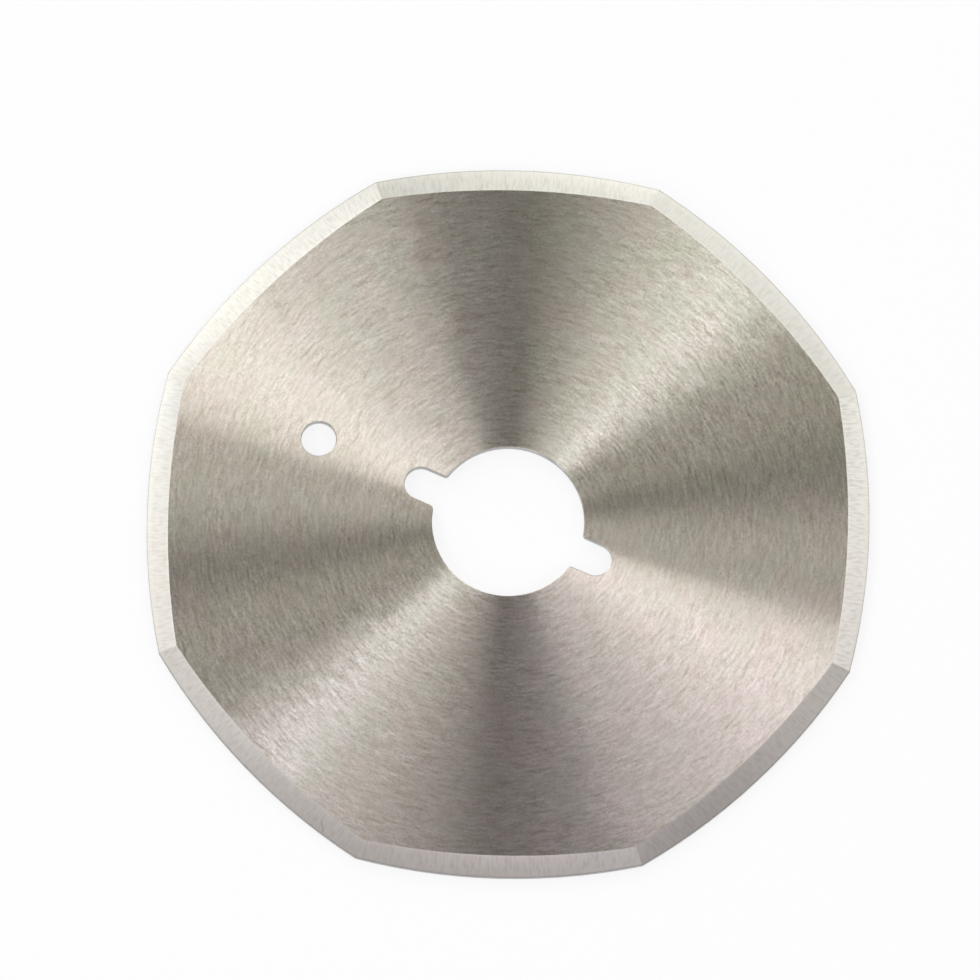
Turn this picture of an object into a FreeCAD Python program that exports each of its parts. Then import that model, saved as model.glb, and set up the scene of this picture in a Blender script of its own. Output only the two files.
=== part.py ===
import FreeCAD, Part
import math
import os
import Sketcher

# Rotary cutter blade: one flat steel plate with eight bowed, bevelled cutting sides.
# It lies flat with its bevelled face up. The origin is the centre of its back face, +Z is the
# axis of the bore, and the drive notches, the pin hole and two of the corners lie along X.

# Driving dimensions, in millimetres and degrees
SIZES = {
    "thickness": 1.5,
    "side_count": 8,
    "corner_diameter": 100,  # circle through the corners
    "side_radius": 84,  # bow of each cutting side
    "bevel_width": 2.9,  # at the middle of a side
    "bevel_radius": 100,  # bow of the line where the bevel starts
    "bevel_angle": 11.5,  # fall of the bevel below the face
    "bore_diameter": 20.4,
    "notch_span": 30,  # from the end of one drive notch to the end of the other
    "notch_width": 4.4,
    "notch_mouth_radius": 0.5,
    "pin_hole_diameter": 4.7,
    "pin_hole_distance": 27.8,  # from the axis of the bore
    "edge_break": 0.1,  # on the rims of the bore, the notches and the pin hole
    "grinding_stock": 1,  # left outside the corners of the blank, and ground off
    "cutter_overrun": 1,  # how far each grinding cut runs past the blank
}

# Each side is an arc that ends at two corners, so its centre lies behind the blade's own axis.
# The bevel is a cone about a centre further back, so its inner line is flatter than the edge.
HALF_SIDE = "(180 deg / sizes.side_count)"
CORNER = "(sizes.corner_diameter / 2)"
SIDE_CENTRE = (
    f"(sqrt(sizes.side_radius ^ 2 - ({CORNER} * sin({HALF_SIDE})) ^ 2)"
    f" - {CORNER} * cos({HALF_SIDE}))"
)
SIDE_MIDDLE = f"(sizes.side_radius - {SIDE_CENTRE})"
BEVEL_START = f"({SIDE_MIDDLE} - sizes.bevel_width)"
BEVEL_CENTRE = f"(sizes.bevel_radius - {BEVEL_START})"
BLANK_RADIUS = f"({CORNER} + sizes.grinding_stock)"
CUT_END = f"({BLANK_RADIUS} + sizes.cutter_overrun)"
BEVEL_FALL = f"(({CUT_END} - {BEVEL_START}) * tan(sizes.bevel_angle * 1 deg))"

# How sketch constraints name the origin, the X axis and the points of a line or an arc
ORIGIN = (-1, 1)
X_AXIS = -1
START, END, CENTRE = 1, 2, 3

UP = FreeCAD.Vector(0, 0, 1)
TOUCH = 1e-4


def make_sheet(doc):
    sheet = doc.addObject("Spreadsheet::Sheet", "sizes")
    for row, (alias, value) in enumerate(SIZES.items(), start=1):
        sheet.set(f"A{row}", alias)
        sheet.set(f"B{row}", str(value))
        sheet.setAlias(f"B{row}", alias)
    doc.recompute()
    return sheet


def origin_part(body, role):
    """The plane or axis of the body's own origin that has this role."""
    return next(part for part in body.Origin.OriginFeatures if part.Role == role)


def new_sketch(body, name, plane):
    sketch = body.newObject("Sketcher::SketchObject", name)
    sketch.AttachmentSupport = [(origin_part(body, plane), "")]
    sketch.MapMode = "FlatFace"
    return sketch


def fix(sketch, kind, *geometry):
    sketch.addConstraint(Sketcher.Constraint(kind, *geometry))


def dimension(sketch, name, size, kind, *geometry):
    """Adds a dimension to a sketch and binds it to an expression of the sizes."""
    value = float(sketch.evalExpression(size))
    index = sketch.addConstraint(Sketcher.Constraint(kind, *geometry, value))
    sketch.renameConstraint(index, name)
    sketch.setExpression(f"Constraints.{name}", size)


def worked_from(body, kind, name, sketch):
    """A feature of the body that works on a sketch."""
    feature = body.newObject(f"PartDesign::{kind}", name)
    feature.Profile = sketch
    sketch.Visibility = False
    return feature


def round_blank(body):
    """The round blank that the sides are ground from."""
    sketch = new_sketch(body, "blank_outline", "XY_Plane")
    circle = sketch.addGeometry(Part.Circle(FreeCAD.Vector(), UP, 50))
    fix(sketch, "Coincident", circle, CENTRE, *ORIGIN)
    dimension(sketch, "radius", BLANK_RADIUS, "Radius", circle)
    blank = worked_from(body, "Pad", "blank", sketch)
    blank.setExpression("Length", "sizes.thickness")
    return blank


def grinding_cut(body, name, start, low_start, low_end, centre):
    """One side's cut, turned about an upright line at the given distance behind the blade's
    axis. Its profile lies in the upright plane through the side's middle: it begins at start
    from the blade's axis, and its lower edge runs from low_start to low_end above the back."""
    sketch = new_sketch(body, name + "_profile", "XZ_Plane")
    sketch.AttachmentOffset = FreeCAD.Placement(
        FreeCAD.Vector(), FreeCAD.Rotation(FreeCAD.Vector(0, 1, 0), 1)
    )
    sketch.setExpression("AttachmentOffset.Rotation.Angle", HALF_SIDE)
    corners = [FreeCAD.Vector(x, y) for x, y in ((45, -1), (53, -1), (53, 3), (45, 3))]
    lower, outer, upper, inner = (
        sketch.addGeometry(Part.LineSegment(here, there))
        for here, there in zip(corners, corners[1:] + corners[:1])
    )
    for line, following in ((lower, outer), (outer, upper), (upper, inner), (inner, lower)):
        fix(sketch, "Coincident", line, END, following, START)
    fix(sketch, "Vertical", outer)
    fix(sketch, "Horizontal", upper)
    fix(sketch, "Vertical", inner)
    dimension(sketch, "start", start, "DistanceX", *ORIGIN, lower, START)
    dimension(sketch, "end", CUT_END, "DistanceX", *ORIGIN, lower, END)
    dimension(sketch, "low_start", low_start, "DistanceY", *ORIGIN, lower, START)
    dimension(sketch, "low_end", low_end, "DistanceY", *ORIGIN, lower, END)
    high = "sizes.thickness + sizes.cutter_overrun"
    dimension(sketch, "high", high, "DistanceY", *ORIGIN, upper, START)

    axis_line = Part.LineSegment(FreeCAD.Vector(-40, 0), FreeCAD.Vector(-40, 5))
    axis = sketch.addGeometry(axis_line, True)
    fix(sketch, "Vertical", axis)
    fix(sketch, "PointOnObject", axis, START, X_AXIS)
    dimension(sketch, "centre", centre, "DistanceX", axis, START, *ORIGIN)
    dimension(sketch, "axis_height", high, "DistanceY", axis, START, axis, END)

    cut = worked_from(body, "Groove", name, sketch)
    cut.ReferenceAxis = (sketch, ["Axis0"])
    cut.Angle = 360
    return cut


def ground_sides(body):
    """All the sides: each is an arc through the full thickness, with its bevel on the face. The
    bevels of neighbouring sides run into each other, which leaves a mitred ridge at a corner."""
    below = "-sizes.cutter_overrun"
    arc = grinding_cut(body, "side_arc", SIDE_MIDDLE, below, below, SIDE_CENTRE)
    low_end = f"sizes.thickness - {BEVEL_FALL}"
    bevel = grinding_cut(body, "side_bevel", BEVEL_START, "sizes.thickness", low_end, BEVEL_CENTRE)
    sides = body.newObject("PartDesign::PolarPattern", "ground_sides")
    sides.Originals = [arc, bevel]
    sides.Axis = (origin_part(body, "Z_Axis"), [""])
    sides.Angle = 360
    sides.setExpression("Occurrences", "sizes.side_count")
    body.Tip = sides
    return sides


def cut_through(body, name, sketch):
    """A pocket from the back face through the blade."""
    pocket = worked_from(body, "Pocket", name, sketch)
    pocket.setExpression("Length", "sizes.thickness")
    pocket.Reversed = True
    return pocket


def bore(body):
    sketch = new_sketch(body, "bore_outline", "XY_Plane")
    circle = sketch.addGeometry(Part.Circle(FreeCAD.Vector(), UP, 10))
    fix(sketch, "Coincident", circle, CENTRE, *ORIGIN)
    dimension(sketch, "diameter", "sizes.bore_diameter", "Diameter", circle)
    return cut_through(body, "bore", sketch)


def pin_hole(body):
    sketch = new_sketch(body, "pin_hole_outline", "XY_Plane")
    circle = sketch.addGeometry(Part.Circle(FreeCAD.Vector(-28, 0), UP, 2))
    fix(sketch, "PointOnObject", circle, CENTRE, X_AXIS)
    dimension(sketch, "distance", "sizes.pin_hole_distance", "DistanceX", circle, CENTRE, *ORIGIN)
    dimension(sketch, "diameter", "sizes.pin_hole_diameter", "Diameter", circle)
    return cut_through(body, "pin_hole", sketch)


def drive_notches(body):
    """Two round-ended notches on one line, cut as a slot right across the bore."""
    sketch = new_sketch(body, "notch_outline", "XY_Plane")
    x, y = 13, 2
    quarter = math.pi / 2
    right_end = Part.Circle(FreeCAD.Vector(x, 0), UP, y)
    left_end = Part.Circle(FreeCAD.Vector(-x, 0), UP, y)
    top_line = Part.LineSegment(FreeCAD.Vector(x, y), FreeCAD.Vector(-x, y))
    bottom_line = Part.LineSegment(FreeCAD.Vector(-x, -y), FreeCAD.Vector(x, -y))
    right = sketch.addGeometry(Part.ArcOfCircle(right_end, -quarter, quarter))
    left = sketch.addGeometry(Part.ArcOfCircle(left_end, quarter, 3 * quarter))
    top = sketch.addGeometry(top_line)
    bottom = sketch.addGeometry(bottom_line)
    fix(sketch, "Tangent", right, END, top, START)
    fix(sketch, "Tangent", top, END, left, START)
    fix(sketch, "Tangent", left, END, bottom, START)
    fix(sketch, "Tangent", bottom, END, right, START)
    fix(sketch, "Equal", left, right)
    fix(sketch, "Symmetric", left, CENTRE, right, CENTRE, *ORIGIN)
    fix(sketch, "PointOnObject", right, CENTRE, X_AXIS)
    dimension(sketch, "end_radius", "sizes.notch_width / 2", "Radius", right)
    between_ends = "sizes.notch_span - sizes.notch_width"
    dimension(sketch, "length", between_ends, "DistanceX", left, CENTRE, right, CENTRE)
    return cut_through(body, "drive_notches", sketch)


def edges_where(feature, test):
    """The names of the feature's edges that pass a test."""
    return [f"Edge{i}" for i, edge in enumerate(feature.Shape.Edges, start=1) if test(edge)]


def notch_mouths(body, sheet):
    """Rounds the four upright edges where the notches open into the bore."""
    base = body.Tip

    def is_mouth(edge):
        ends = [vertex.Point for vertex in edge.Vertexes]
        upright = len(ends) == 2 and abs(ends[0].z - ends[1].z) > TOUCH
        return upright and all(
            abs((end - UP * end.z).Length - sheet.bore_diameter / 2) < TOUCH
            and abs(abs(end.y) - sheet.notch_width / 2) < TOUCH
            for end in ends
        )

    mouths = body.newObject("PartDesign::Fillet", "notch_mouths")
    mouths.Base = (base, edges_where(base, is_mouth))
    mouths.setExpression("Radius", "sizes.notch_mouth_radius")
    return mouths


def broken_rims(body):
    """Takes the sharp rim off every opening, on the face and on the back."""
    base = body.Tip
    flats = [face for face in base.Shape.Faces if face.normalAt(0, 0).cross(UP).Length < TOUCH]
    rims = [
        edge
        for face in flats
        for wire in face.Wires
        if not wire.isSame(face.OuterWire)
        for edge in wire.Edges
    ]
    broken = body.newObject("PartDesign::Chamfer", "broken_rims")
    broken.Base = (base, edges_where(base, lambda edge: any(edge.isSame(rim) for rim in rims)))
    broken.setExpression("Size", "sizes.edge_break")
    return broken


def make_blade(doc, sheet):
    body = doc.addObject("PartDesign::Body", "blade")
    body.Label = "blade"
    round_blank(body)
    ground_sides(body)
    bore(body)
    drive_notches(body)
    pin_hole(body)
    doc.recompute()
    notch_mouths(body, sheet)
    doc.recompute()
    broken_rims(body)
    doc.recompute()
    body.Placement = FreeCAD.Placement()
    return body


def check(doc, bodies):
    """Stops before anything is written if a feature failed or a cut took nothing away."""
    for part in doc.Objects:
        if "Invalid" in part.State or "Error" in part.State:
            raise RuntimeError(f"{part.Name} failed: {part.State}")
    for body in bodies:
        if body.Shape.isNull() or not body.Shape.isValid():
            raise RuntimeError(f"{body.Label} has no valid shape")
        solid_features = [part for part in body.Group if part.isDerivedFrom("PartDesign::Feature")]
        for base, cut in zip(solid_features, solid_features[1:]):
            if cut.Shape.Volume >= base.Shape.Volume:
                raise RuntimeError(f"{cut.Name} takes nothing off {base.Name}")


doc = FreeCAD.newDocument("rotary_cutter_blade")
sheet = make_sheet(doc)
bodies = [make_blade(doc, sheet)]
doc.recompute()
check(doc, bodies)

os.makedirs("parts", exist_ok=True)
for body in bodies:
    body.Shape.exportStep(f"parts/{body.Label}.step")
    print(body.Label, "volume", round(body.Shape.Volume, 2), body.Shape.BoundBox)
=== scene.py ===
"""The looks of a rotary cutter blade: brushed steel, soft studio light, a white floor and the camera.

Lengths are in metres, and in millimetres inside the steel's nodes. A softbox's bearing is in degrees round
the upright axis, counted anticlockwise from the right-hand side of the picture.
"""

import math
from types import SimpleNamespace

import bpy
from mathutils import Matrix, Vector


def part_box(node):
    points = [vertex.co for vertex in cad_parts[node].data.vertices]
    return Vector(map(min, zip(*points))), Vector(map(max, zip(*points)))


MM = 0.001

# Camera
CAMERA_AZIMUTH = 24.04
CAMERA_ELEVATION = 78.0
LENS_MM = 500.0
SENSOR_MM = 36.0
VIEW_WIDTH = 131.2 * MM
CENTRE_RIGHT = 2.42 * MM
CENTRE_DOWN = 4.18 * MM

# Sides of the blade: a bevel lies between its inner line and the edge, which are both arcs
SIDE_ANGLE = math.radians(45.0)
BEVEL_LINE_RADIUS = 100.0
BEVEL_LINE_BEHIND = 54.498
EDGE_RADIUS = 84.0
EDGE_BEHIND = 35.598
BEVEL_MIDDLE = 1.4

# Level directions: away from the camera, across the picture, and along and across two opposite streaks
FAR_WAY = (-0.407, 0.913, 0.0)
SIDEWAYS_WAY = (0.866, 0.500, 0.0)
STREAK_WAY = (0.9876, 0.1571, 0.0)
STREAK_CROSSWAY = (-0.1571, 0.9876, 0.0)

# Ramps from here on are given as start, end, low and high, or as start and end from 0 to 1

# Face
PLAIN = (1.0, 1.0, 1.0, 1.0)
FACE_COLOUR = (0.696, 0.635, 0.560, 1.0)
# Painted light and shade on the face: its colour is darker and pinker near the camera, lighter and greener
# on the far side
FACE_NEAR_PAINTED_SHADE = (0.953, 0.935, 0.979, 1.0)
FACE_FAR_PAINTED_LIGHT = (1.043, 1.067, 1.035, 1.0)
FACE_SIDES = (1.0, 1.0, 0.953, 1.0)
FACE_PAINTED_LIGHT_RAMP = (-45.0, 45.0)
FACE_SIDES_RAMP = (0.60, 0.95)
PATCH_GREEN = (0.98, 1.0, 0.985, 1.0)
PATCH_PINK = (1.02, 0.995, 1.01, 1.0)
PATCH_RATE = 0.22
PATCH_RAMP = (0.35, 0.65)
FACE_CONTRAST = (0.480, 0.550, 0.635)
FACE_ROUGHNESS = 0.3976
FACE_ANISOTROPY = 1.0

# Scratches on the face: how fast a set changes round the axis and away from it, and how strong it is
LONG_SCRATCHES = (0.44, 2.6, 0.74)
SHORT_SCRATCHES = (1.15, 2.9, 0.56)
SPECKS = (3.0, 3.3, 0.72)
SETS_APART = 60.0
DARK_STROKE_RATES = (0.26, 2.2)
DARK_STROKE_RAMP = (0.60, 0.74, 0.0, -0.22)
LEAN_RATE = 0.28
LEAN = 1.2
STRENGTH_RATE = 0.3
STRENGTH_RAMP = (0.35, 0.65, 0.80, 1.15)
UNEVEN = 0.22
UNEVEN_TURN = 0.70
SWING = 0.13
SWING_LEAN = 0.10

# How far the brushing turns between two angles from the streaks' line, all in radians
BRUSH_TURNS = (
    (-0.178, -0.115, -0.023),
    (-0.077, 0.034, 0.120),
    (0.038, 0.190, -0.097),
)

# Bevels
BEVEL_COLOUR = (0.791, 0.751, 0.696, 1.0)
# Painted light and shade on the bevels: darker and pinker near the camera, lighter and greener on the far
# side
BEVEL_NEAR_PAINTED_SHADE = (0.954, 0.929, 0.950, 1.0)
BEVEL_FAR_PAINTED_LIGHT = (1.019, 1.042, 1.033, 1.0)
BEVEL_PAINTED_LIGHT_RAMP = (-45.0, 20.0)
# Painted light and shade across the bevel, as on a bowed grind: lighter outward on the far side, darker
# outward near
BEVEL_PAINTED_BOW_SHADE_RAMP = (-50.0, 20.0, -0.050, 0.030)
# A painted highlight: a thin lighter line where the bevel meets the face
BEVEL_PAINTED_HIGHLIGHT_RAMP = (0.15, 0.35, 0.04, 0.0)
# Painted light in a strip just inside the edge, and painted shade in a thin dark line along the edge
EDGE_PAINTED_LIGHT_RAMP = (-0.90, -0.60, 0.0, 0.02)
EDGE_PAINTED_SHADE_RAMP = (-0.16, -0.08, 0.0, 0.30)
BEVEL_ROUGHNESS = 0.4162
BEVEL_ANISOTROPY = 0.978
BEVEL_BOW = 0.006

# Lines over the bevels: how fast they change along a side, across it and from side to side
LINE_RATES = (3.2, 0.85, 7.7)
LINE_STRENGTH = 0.48
LINE_DARK_RAMP = (0.62, 0.72, 0.0, -0.08)
LINE_FADE_RAMP = (1.8, 2.8, 1.0, 0.5)
LINE_CONTRAST = (0.92, 0.98, 1.12)
SIDE_STRENGTH = 0.90
STRONG_SIDE = 0.0
STRONG_SIDE_MORE = 0.45
FAINT_SIDE = 1.0
FAINT_SIDE_MORE = -0.30

# A nick on one bevel: where it starts along the side, how far it slants, and how dark it is
NICK_SIDE = -3.0
NICK_START = 10.9
NICK_SLANT = 1.06
NICK_DEPTH = 0.24
NICK_WIDTH_RAMP = (0.05, 0.20, 1.0, 0.0)
NICK_BEGIN_RAMP = (1.05, 1.45, 0.0, 1.0)
NICK_END_RAMP = (2.2, 2.6, 1.0, 0.0)

# Walls
# The walls' grey is partly their sheared finish and partly painted shade, so that they show against the
# white floor
WALL_COLOUR_AND_SHADE = (0.430, 0.430, 0.430, 1.0)
WALL_ROUGHNESS = 0.45
STEEPEST_TOP = 0.5

# Floor
FLOOR_COLOUR = (0.160, 0.160, 0.160, 1.0)
FLOOR_LIFT = 0.828
FLOOR_HALF = 3.0
FLOOR_LEVEL = -0.05 * MM

# Light
WORLD_HIGH = (0.041, 0.039, 0.037, 1.0)
WORLD_LOW = (0.305, 0.289, 0.273, 1.0)
WORLD_RAMP = (0.25, 0.75)
LAMP_DISTANCE = 1.4
# bearing, angle from straight up, width, height, turn, brightness, colour
SOFTBOXES = {
    "softbox_a": (147.6, 35.5, 33.4, 9.9, -34.1, 5.05, (0.981, 0.990, 1.000)),
    "softbox_b": (59.2, 54.1, 20.1, 58.3, -5.9, 2.69, (0.979, 1.000, 0.978)),
    "softbox_c": (-10.9, 37.4, 8.0, 67.5, 0.9, 2.99, (0.975, 0.956, 1.000)),
    "softbox_d": (216.7, 51.7, 10.4, 24.4, 6.7, 5.64, (0.853, 0.910, 1.000)),
    "softbox_e": (318.3, 45.8, 68.9, 16.3, -23.4, 2.19, (0.974, 0.973, 1.000)),
    "softbox_f": (124.9, 68.2, 37.9, 28.1, -6.3, 4.06, (0.990, 1.000, 0.998)),
    "softbox_g": (184.6, 47.4, 8.8, 15.8, 45.4, 5.28, (0.997, 1.000, 0.983)),
    "softbox_h": (245.3, 62.4, 34.6, 11.3, 44.5, 4.81, (0.996, 1.000, 0.975)),
}


class Graph:
    """Builds a node tree. An input is a socket to link, or a value to set."""

    def __init__(self, tree):
        self.tree = tree
        tree.nodes.clear()

    def node(self, kind, **settings):
        made = self.tree.nodes.new(kind)
        for name, value in settings.items():
            setattr(made, name, value)
        return made

    def feed(self, socket, value):
        if isinstance(value, bpy.types.NodeSocket):
            self.tree.links.new(value, socket)
        else:
            socket.default_value = value

    def math(self, operation, *values):
        made = self.node("ShaderNodeMath", operation=operation)
        for socket, value in zip(made.inputs, values):
            self.feed(socket, value)
        return made.outputs[0]

    def plus(self, first, second):
        return self.math("ADD", first, second)

    def minus(self, first, second):
        return self.math("SUBTRACT", first, second)

    def times(self, first, second):
        return self.math("MULTIPLY", first, second)

    def vector_math(self, operation, *values, out="Vector"):
        made = self.node("ShaderNodeVectorMath", operation=operation)
        for socket, value in zip(made.inputs, values):
            self.feed(socket, value)
        return made.outputs[out]

    def reach(self, vector, way):
        """How far a vector goes in a direction."""
        return self.vector_math("DOT_PRODUCT", vector, way, out="Value")

    def unit(self, vector):
        return self.vector_math("NORMALIZE", vector)

    def vector_sum(self, first, second):
        return self.vector_math("ADD", first, second)

    def scaled(self, vector, size):
        made = self.node("ShaderNodeVectorMath", operation="SCALE")
        self.feed(made.inputs[0], vector)
        self.feed(made.inputs["Scale"], size)
        return made.outputs[0]

    def parts(self, vector):
        made = self.node("ShaderNodeSeparateXYZ")
        self.feed(made.inputs[0], vector)
        return made.outputs[0], made.outputs[1], made.outputs[2]

    def vector(self, x, y, z):
        made = self.node("ShaderNodeCombineXYZ")
        for socket, value in zip(made.inputs, (x, y, z)):
            self.feed(socket, value)
        return made.outputs[0]

    def ramp(self, value, start, end, low=0.0, high=1.0):
        """Goes smoothly from low to high as the value goes from start to end."""
        made = self.node("ShaderNodeMapRange", interpolation_type="SMOOTHSTEP")
        for name, given in (
            ("Value", value),
            ("From Min", start),
            ("From Max", end),
            ("To Min", low),
            ("To Max", high),
        ):
            self.feed(made.inputs[name], given)
        return made.outputs[0]

    def noise(self, vector, detail):
        made = self.node("ShaderNodeTexNoise", noise_dimensions="3D")
        self.feed(made.inputs["Vector"], vector)
        made.inputs["Scale"].default_value = 1.0
        made.inputs["Detail"].default_value = detail
        made.inputs["Roughness"].default_value = 0.5
        return made.outputs["Fac"]

    def around(self, value, size):
        """Spreads a noise value about zero, as wide as size."""
        return self.times(self.minus(value, 0.5), size)

    def blend(self, share, first, second):
        made = self.node("ShaderNodeMix", data_type="RGBA", blend_type="MIX")
        self.feed(made.inputs[0], share)
        self.feed(made.inputs[6], first)
        self.feed(made.inputs[7], second)
        return made.outputs[2]

    def tint(self, colour, by):
        made = self.node("ShaderNodeMix", data_type="RGBA", blend_type="MULTIPLY")
        made.inputs[0].default_value = 1.0
        self.feed(made.inputs[6], colour)
        self.feed(made.inputs[7], by)
        return made.outputs[2]

    def either(self, share, first, second):
        made = self.node("ShaderNodeMixShader")
        self.feed(made.inputs[0], share)
        self.feed(made.inputs[1], first)
        self.feed(made.inputs[2], second)
        return made.outputs[0]

    def steel(self, colour, roughness, anisotropy, tangent=None, normal=None):
        made = self.node("ShaderNodeBsdfPrincipled")
        self.feed(made.inputs["Base Color"], colour)
        made.inputs["Roughness"].default_value = roughness
        made.inputs["Metallic"].default_value = 1.0
        made.inputs["Anisotropic"].default_value = anisotropy
        if tangent is not None:
            self.feed(made.inputs["Tangent"], tangent)
        if normal is not None:
            self.feed(made.inputs["Normal"], normal)
        return made.outputs[0]


def picture_directions():
    """The picture's right, up and back directions."""
    turn = math.radians(CAMERA_AZIMUTH)
    rise = math.radians(CAMERA_ELEVATION)
    back = Vector((math.sin(turn) * math.cos(rise), -math.cos(turn) * math.cos(rise), math.sin(rise)))
    right = Vector((math.cos(turn), math.sin(turn), 0.0))
    return right, back.cross(right), back


def make_camera(centre):
    right, up, back = picture_directions()
    data = bpy.data.cameras.new("camera")
    data.lens = LENS_MM
    data.sensor_width = SENSOR_MM
    data.clip_start = 0.1
    data.clip_end = 20.0
    camera = bpy.data.objects.new("camera", data)
    bpy.context.scene.collection.objects.link(camera)
    aim = centre - right * CENTRE_RIGHT + up * CENTRE_DOWN
    place = aim + back * (VIEW_WIDTH * LENS_MM / SENSOR_MM)
    turned = Matrix((right, up, back)).transposed().to_4x4()
    camera.matrix_world = Matrix.Translation(place) @ turned
    bpy.context.scene.camera = camera


def lamp_size(angle):
    """How wide a lamp is that fills an angle in degrees, seen from the blade."""
    return 2.0 * LAMP_DISTANCE * math.tan(math.radians(angle) / 2.0)


def make_softbox(name, bearing, from_up, width, height, turn, brightness, colour):
    """A rectangular lamp that faces the blade. Its width and height are the angles that it fills."""
    around = math.radians(bearing + CAMERA_AZIMUTH)
    tilt = math.radians(from_up)
    out = Vector((math.sin(tilt) * math.cos(around), math.sin(tilt) * math.sin(around), math.cos(tilt)))
    along = Vector((-math.sin(around), math.cos(around), 0.0))
    across = out.cross(along)
    spin = math.radians(turn)
    wide = along * math.cos(spin) + across * math.sin(spin)
    data = bpy.data.lights.new(name, "AREA")
    data.shape = "RECTANGLE"
    data.size = lamp_size(width)
    data.size_y = lamp_size(height)
    data.energy = brightness * math.pi * data.size * data.size_y
    data.color = colour
    lamp = bpy.data.objects.new(name, data)
    bpy.context.scene.collection.objects.link(lamp)
    turned = Matrix((wide, out.cross(wide), out)).transposed().to_4x4()
    lamp.matrix_world = Matrix.Translation(out * LAMP_DISTANCE) @ turned
    lamp.visible_camera = False


def make_world():
    """A sky that is dim overhead and brighter low down."""
    world = bpy.data.worlds.new("studio")
    bpy.context.scene.world = world
    world.use_nodes = True
    g = Graph(world.node_tree)
    upward = g.parts(g.node("ShaderNodeTexCoord").outputs["Generated"])[2]
    background = g.node("ShaderNodeBackground")
    g.feed(background.inputs["Color"], g.blend(g.ramp(upward, *WORLD_RAMP), WORLD_LOW, WORLD_HIGH))
    out = g.node("ShaderNodeOutputWorld")
    g.feed(out.inputs[0], background.outputs[0])


def make_floor():
    """A floor that looks white to the camera and in the steel, and keeps the blade's shadow."""
    data = bpy.data.meshes.new("floor")
    ways = ((-1, -1), (1, -1), (1, 1), (-1, 1))
    corners = [(x * FLOOR_HALF, y * FLOOR_HALF, FLOOR_LEVEL) for x, y in ways]
    data.from_pydata(corners, [], [(0, 1, 2, 3)])
    floor = bpy.data.objects.new("floor", data)
    bpy.context.scene.collection.objects.link(floor)
    material = bpy.data.materials.new("floor_white")
    material.use_nodes = True
    g = Graph(material.node_tree)
    diffuse = g.node("ShaderNodeBsdfDiffuse")
    diffuse.inputs["Color"].default_value = FLOOR_COLOUR
    rays = g.node("ShaderNodeLightPath").outputs
    seen = g.math("MAXIMUM", rays["Is Camera Ray"], rays["Is Glossy Ray"])
    seen = g.math("MAXIMUM", seen, rays["Is Transmission Ray"])
    lift = g.node("ShaderNodeEmission")
    g.feed(lift.inputs["Strength"], g.times(seen, FLOOR_LIFT))
    both = g.node("ShaderNodeAddShader")
    g.feed(both.inputs[0], diffuse.outputs[0])
    g.feed(both.inputs[1], lift.outputs[0])
    out = g.node("ShaderNodeOutputMaterial")
    g.feed(out.inputs["Surface"], both.outputs[0])
    data.materials.append(material)


def beyond_arc(g, outward, sideways, behind, arc_radius):
    """How far a place is beyond an arc whose centre lies behind the axis."""
    ahead = g.plus(outward, behind)
    squares = g.plus(g.times(ahead, ahead), g.times(sideways, sideways))
    return g.minus(g.math("SQRT", squares), arc_radius)


def find_place(g):
    """Where a point lies on the blade, and on its own side of the eight.

    On a side, along is measured beside the bevel's inner line and across outward from it. Past_edge is
    measured outward from the edge, so it is below zero on the blade.
    """
    place = g.scaled(g.node("ShaderNodeTexCoord").outputs["Object"], 1.0 / MM)
    x, y = g.parts(place)[:2]
    radius = g.math("SQRT", g.plus(g.times(x, x), g.times(y, y)))
    bearing = g.math("ARCTAN2", y, x)
    side = g.math("FLOOR", g.math("DIVIDE", bearing, SIDE_ANGLE))
    turned = g.minus(bearing, g.times(g.plus(side, 0.5), SIDE_ANGLE))
    outward = g.times(radius, g.math("COSINE", turned))
    sideways = g.times(radius, g.math("SINE", turned))
    turn = g.math("ARCTAN2", sideways, g.plus(outward, BEVEL_LINE_BEHIND))
    return SimpleNamespace(
        place=place,
        x=x,
        y=y,
        radius=radius,
        bearing=bearing,
        side=side,
        along=g.times(turn, BEVEL_LINE_RADIUS),
        across=beyond_arc(g, outward, sideways, BEVEL_LINE_BEHIND, BEVEL_LINE_RADIUS),
        past_edge=beyond_arc(g, outward, sideways, EDGE_BEHIND, EDGE_RADIUS),
        far=g.reach(place, FAR_WAY),
    )


def ring_noise(g, x, y, radius, round_rate, out_rate, detail):
    """Noise that changes slowly round the axis and fast away from it."""
    where = g.vector(g.times(x, round_rate), g.times(y, round_rate), g.times(radius, out_rate))
    return g.noise(where, detail)


def scratch_set(g, x, y, radius, kind):
    round_rate, out_rate, size = kind
    return g.around(ring_noise(g, x, y, radius, round_rate, out_rate, 0.0), size)


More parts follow.
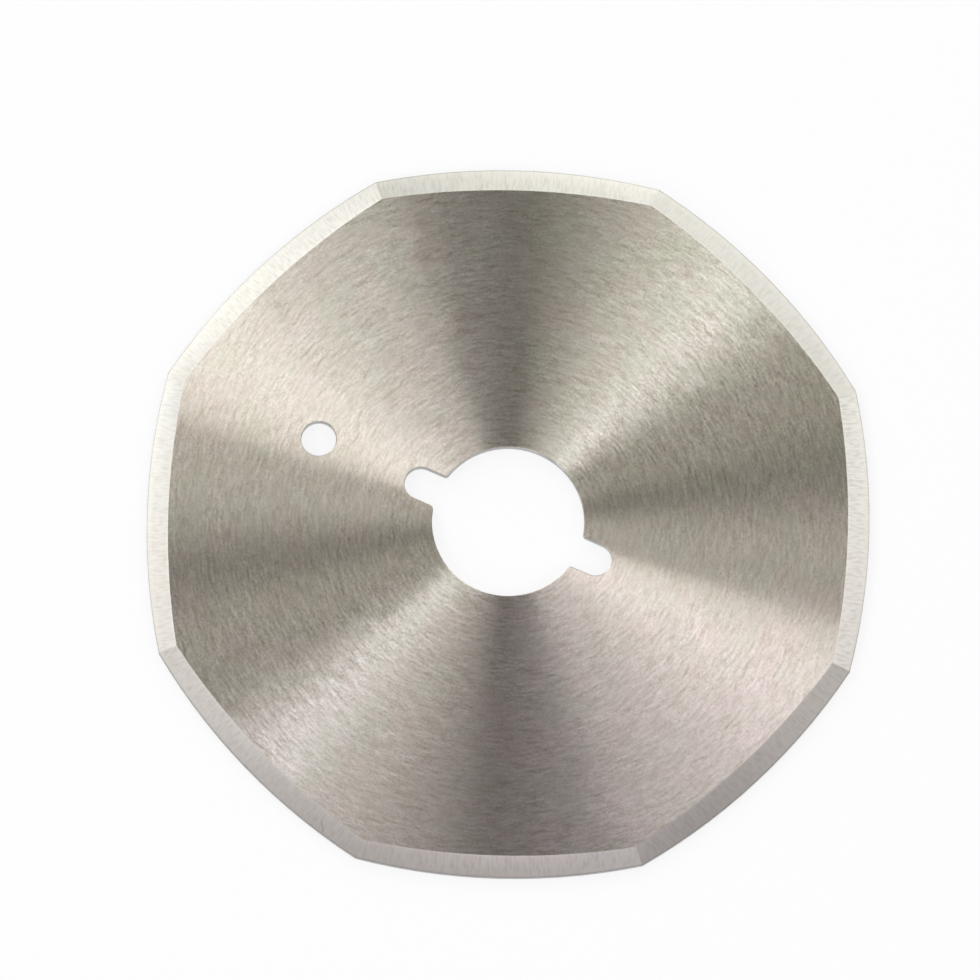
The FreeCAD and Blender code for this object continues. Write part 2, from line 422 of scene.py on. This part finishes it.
def scratch_face(g, at):
    """The face's scratches, in two sets that cross at small angles, with fine specks and dark strokes.

    Returns how much lighter they make the steel, and how far they turn its brushing.
    """
    lean = g.around(g.noise(g.scaled(at.place, LEAN_RATE), 1.0), LEAN)
    outer = g.plus(at.radius, lean)
    inner = g.minus(at.radius, lean)
    long_set = scratch_set(g, at.x, at.y, outer, LONG_SCRATCHES)
    short_set = scratch_set(g, g.plus(at.x, SETS_APART), at.y, inner, SHORT_SCRATCHES)
    specks = scratch_set(g, at.x, at.y, at.radius, SPECKS)

    # They are stronger in some patches, and on two opposite quarters
    patches = g.noise(g.scaled(at.place, STRENGTH_RATE), 1.0)
    strength = g.ramp(patches, *STRENGTH_RAMP)
    twice_round = g.minus(g.times(at.bearing, 2.0), UNEVEN_TURN)
    uneven = g.plus(1.0, g.times(g.math("SINE", twice_round), UNEVEN))
    strength = g.times(strength, uneven)

    dark = ring_noise(g, at.x, at.y, g.plus(outer, lean), *DARK_STROKE_RATES, 1.0)
    dark_strokes = g.ramp(dark, *DARK_STROKE_RAMP)
    fine = g.times(g.plus(g.plus(long_set, short_set), specks), strength)
    swing = g.times(g.plus(long_set, g.times(lean, SWING_LEAN)), SWING)
    return g.plus(fine, dark_strokes), swing


def brush_turn(g, at):
    """The brushing turns a few degrees near one line through the axis, which sharpens two streaks."""
    across_line = g.reach(at.place, STREAK_CROSSWAY)
    along_line = g.reach(at.place, STREAK_WAY)
    from_line = g.math("ARCTANGENT", g.math("DIVIDE", across_line, along_line))
    before, over, after = (g.ramp(from_line, start, end, 0.0, size) for start, end, size in BRUSH_TURNS)
    return g.plus(g.plus(before, over), after)


def face_steel(g, at):
    """Circularly brushed steel, with tints that change at random over the face, painted shade that darkens
    it on the near side and painted light that lightens and greens it on the far side, and a yellower tint
    towards the left and right.
    """
    grain, swing = scratch_face(g, at)
    patches = g.noise(g.scaled(at.place, PATCH_RATE), 2.0)
    tints = g.blend(g.ramp(patches, *PATCH_RAMP), PATCH_GREEN, PATCH_PINK)
    # Painted light and shade: darker on the near side, lighter on the far side
    tints = g.tint(tints, g.blend(g.ramp(at.far, *FACE_PAINTED_LIGHT_RAMP), FACE_NEAR_PAINTED_SHADE, FACE_FAR_PAINTED_LIGHT))
    level = g.math("DIVIDE", g.reach(at.place, SIDEWAYS_WAY), at.radius)
    tints = g.tint(tints, g.blend(g.ramp(g.times(level, level), *FACE_SIDES_RAMP), PLAIN, FACE_SIDES))
    tone = g.vector_sum((1.0, 1.0, 1.0), g.scaled(FACE_CONTRAST, grain))
    colour = g.tint(g.tint(FACE_COLOUR, tints), tone)

    swing = g.plus(swing, brush_turn(g, at))
    radial = g.vector(at.x, at.y, 0.0)
    circular = g.vector(g.times(at.y, -1.0), at.x, 0.0)
    brushed = g.unit(g.vector_sum(radial, g.scaled(circular, swing)))
    return g.steel(colour, FACE_ROUGHNESS, FACE_ANISOTROPY, tangent=brushed)


def bevel_lines(g, at):
    """Short lines across the bevel that fade towards the edge, stronger on some sides, with one nick."""
    places = (at.along, at.across, at.side)
    where = g.vector(*(g.times(place, rate) for place, rate in zip(places, LINE_RATES)))
    streaks = g.noise(where, 1.0)
    lines = g.plus(g.around(streaks, LINE_STRENGTH), g.ramp(streaks, *LINE_DARK_RAMP))
    lines = g.times(lines, g.ramp(at.across, *LINE_FADE_RAMP))
    strong = g.times(g.math("COMPARE", at.side, STRONG_SIDE), STRONG_SIDE_MORE)
    faint = g.times(g.math("COMPARE", at.side, FAINT_SIDE), FAINT_SIDE_MORE)
    lines = g.times(lines, g.plus(g.plus(SIDE_STRENGTH, strong), faint))

    nick_line = g.minus(at.along, g.plus(g.times(at.across, NICK_SLANT), NICK_START))
    nick_width = g.ramp(g.math("ABSOLUTE", nick_line), *NICK_WIDTH_RAMP)
    nick_length = g.times(g.ramp(at.across, *NICK_BEGIN_RAMP), g.ramp(at.across, *NICK_END_RAMP))
    nick = g.times(g.times(nick_width, nick_length), g.math("COMPARE", at.side, NICK_SIDE))
    return g.minus(lines, g.times(nick, NICK_DEPTH))


def bevel_steel(g, at, normal):
    """Steel ground across the bevel, with painted light and shade: a thin dark line along the edge, a
    lighter strip inside it, a highlight along the inner line, and tone that changes across and over the
    bevel; its normals are bowed slightly too.
    """
    from_middle = g.minus(at.across, BEVEL_MIDDLE)
    # Painted light just inside the edge and painted shade along it
    painted_edge_light_and_shade = g.minus(g.ramp(at.past_edge, *EDGE_PAINTED_LIGHT_RAMP), g.ramp(at.past_edge, *EDGE_PAINTED_SHADE_RAMP))
    # Painted highlight along the bevel's inner line
    start = g.ramp(at.across, *BEVEL_PAINTED_HIGHLIGHT_RAMP)
    # Painted light and shade: lighter outward on the far side of the bevel, darker outward on the near
    # side
    painted_bow_shade = g.times(from_middle, g.ramp(at.far, *BEVEL_PAINTED_BOW_SHADE_RAMP))
    tone_and_painted_light = g.plus(g.plus(1.0, painted_bow_shade), g.plus(painted_edge_light_and_shade, start))
    tone = g.vector(tone_and_painted_light, tone_and_painted_light, tone_and_painted_light)
    tone = g.vector_sum(tone, g.scaled(LINE_CONTRAST, bevel_lines(g, at)))
    # Painted light and shade: the bevel is darker near the camera and lighter on the far side
    painted_light_cast = g.blend(g.ramp(at.far, *BEVEL_PAINTED_LIGHT_RAMP), BEVEL_NEAR_PAINTED_SHADE, BEVEL_FAR_PAINTED_LIGHT)
    colour = g.tint(g.tint(BEVEL_COLOUR, painted_light_cast), tone)

    level = g.unit(g.vector_math("CROSS_PRODUCT", (0.0, 0.0, 1.0), normal))
    away = g.unit(g.vector_math("MULTIPLY", normal, (1.0, 1.0, 0.0)))
    bowed = g.unit(g.vector_sum(normal, g.scaled(away, g.times(from_middle, BEVEL_BOW))))
    return g.steel(colour, BEVEL_ROUGHNESS, BEVEL_ANISOTROPY, tangent=level, normal=bowed)


def blade_steel():
    """Brushed faces, ground bevels and plain walls in one material, told apart by place and direction."""
    material = bpy.data.materials.new("blade_steel")
    material.use_nodes = True
    g = Graph(material.node_tree)
    at = find_place(g)
    geometry = g.node("ShaderNodeNewGeometry")
    upward = g.parts(geometry.outputs["True Normal"])[2]
    on_top = g.math("GREATER_THAN", upward, STEEPEST_TOP)
    on_bevel = g.times(g.math("GREATER_THAN", at.across, 0.0), on_top)
    on_wall = g.math("LESS_THAN", g.math("ABSOLUTE", upward), STEEPEST_TOP)
    surface = g.either(on_bevel, face_steel(g, at), bevel_steel(g, at, geometry.outputs["Normal"]))
    surface = g.either(on_wall, surface, g.steel(WALL_COLOUR_AND_SHADE, WALL_ROUGHNESS, 0.0))
    out = g.node("ShaderNodeOutputMaterial")
    g.feed(out.inputs["Surface"], surface)
    return material


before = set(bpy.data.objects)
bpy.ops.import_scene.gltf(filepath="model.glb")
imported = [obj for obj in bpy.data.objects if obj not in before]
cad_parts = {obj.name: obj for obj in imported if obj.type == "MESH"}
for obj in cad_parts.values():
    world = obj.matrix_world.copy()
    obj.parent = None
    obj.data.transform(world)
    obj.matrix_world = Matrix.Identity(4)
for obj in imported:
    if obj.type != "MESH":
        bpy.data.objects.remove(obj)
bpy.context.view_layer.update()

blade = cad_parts["blade"]
blade.material_slots[0].material = blade_steel()

bpy.context.scene.view_settings.view_transform = "Standard"
make_world()
make_floor()
for name, settings in SOFTBOXES.items():
    make_softbox(name, *settings)
lowest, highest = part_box("blade")
make_camera(Vector((0.0, 0.0, highest.z)))
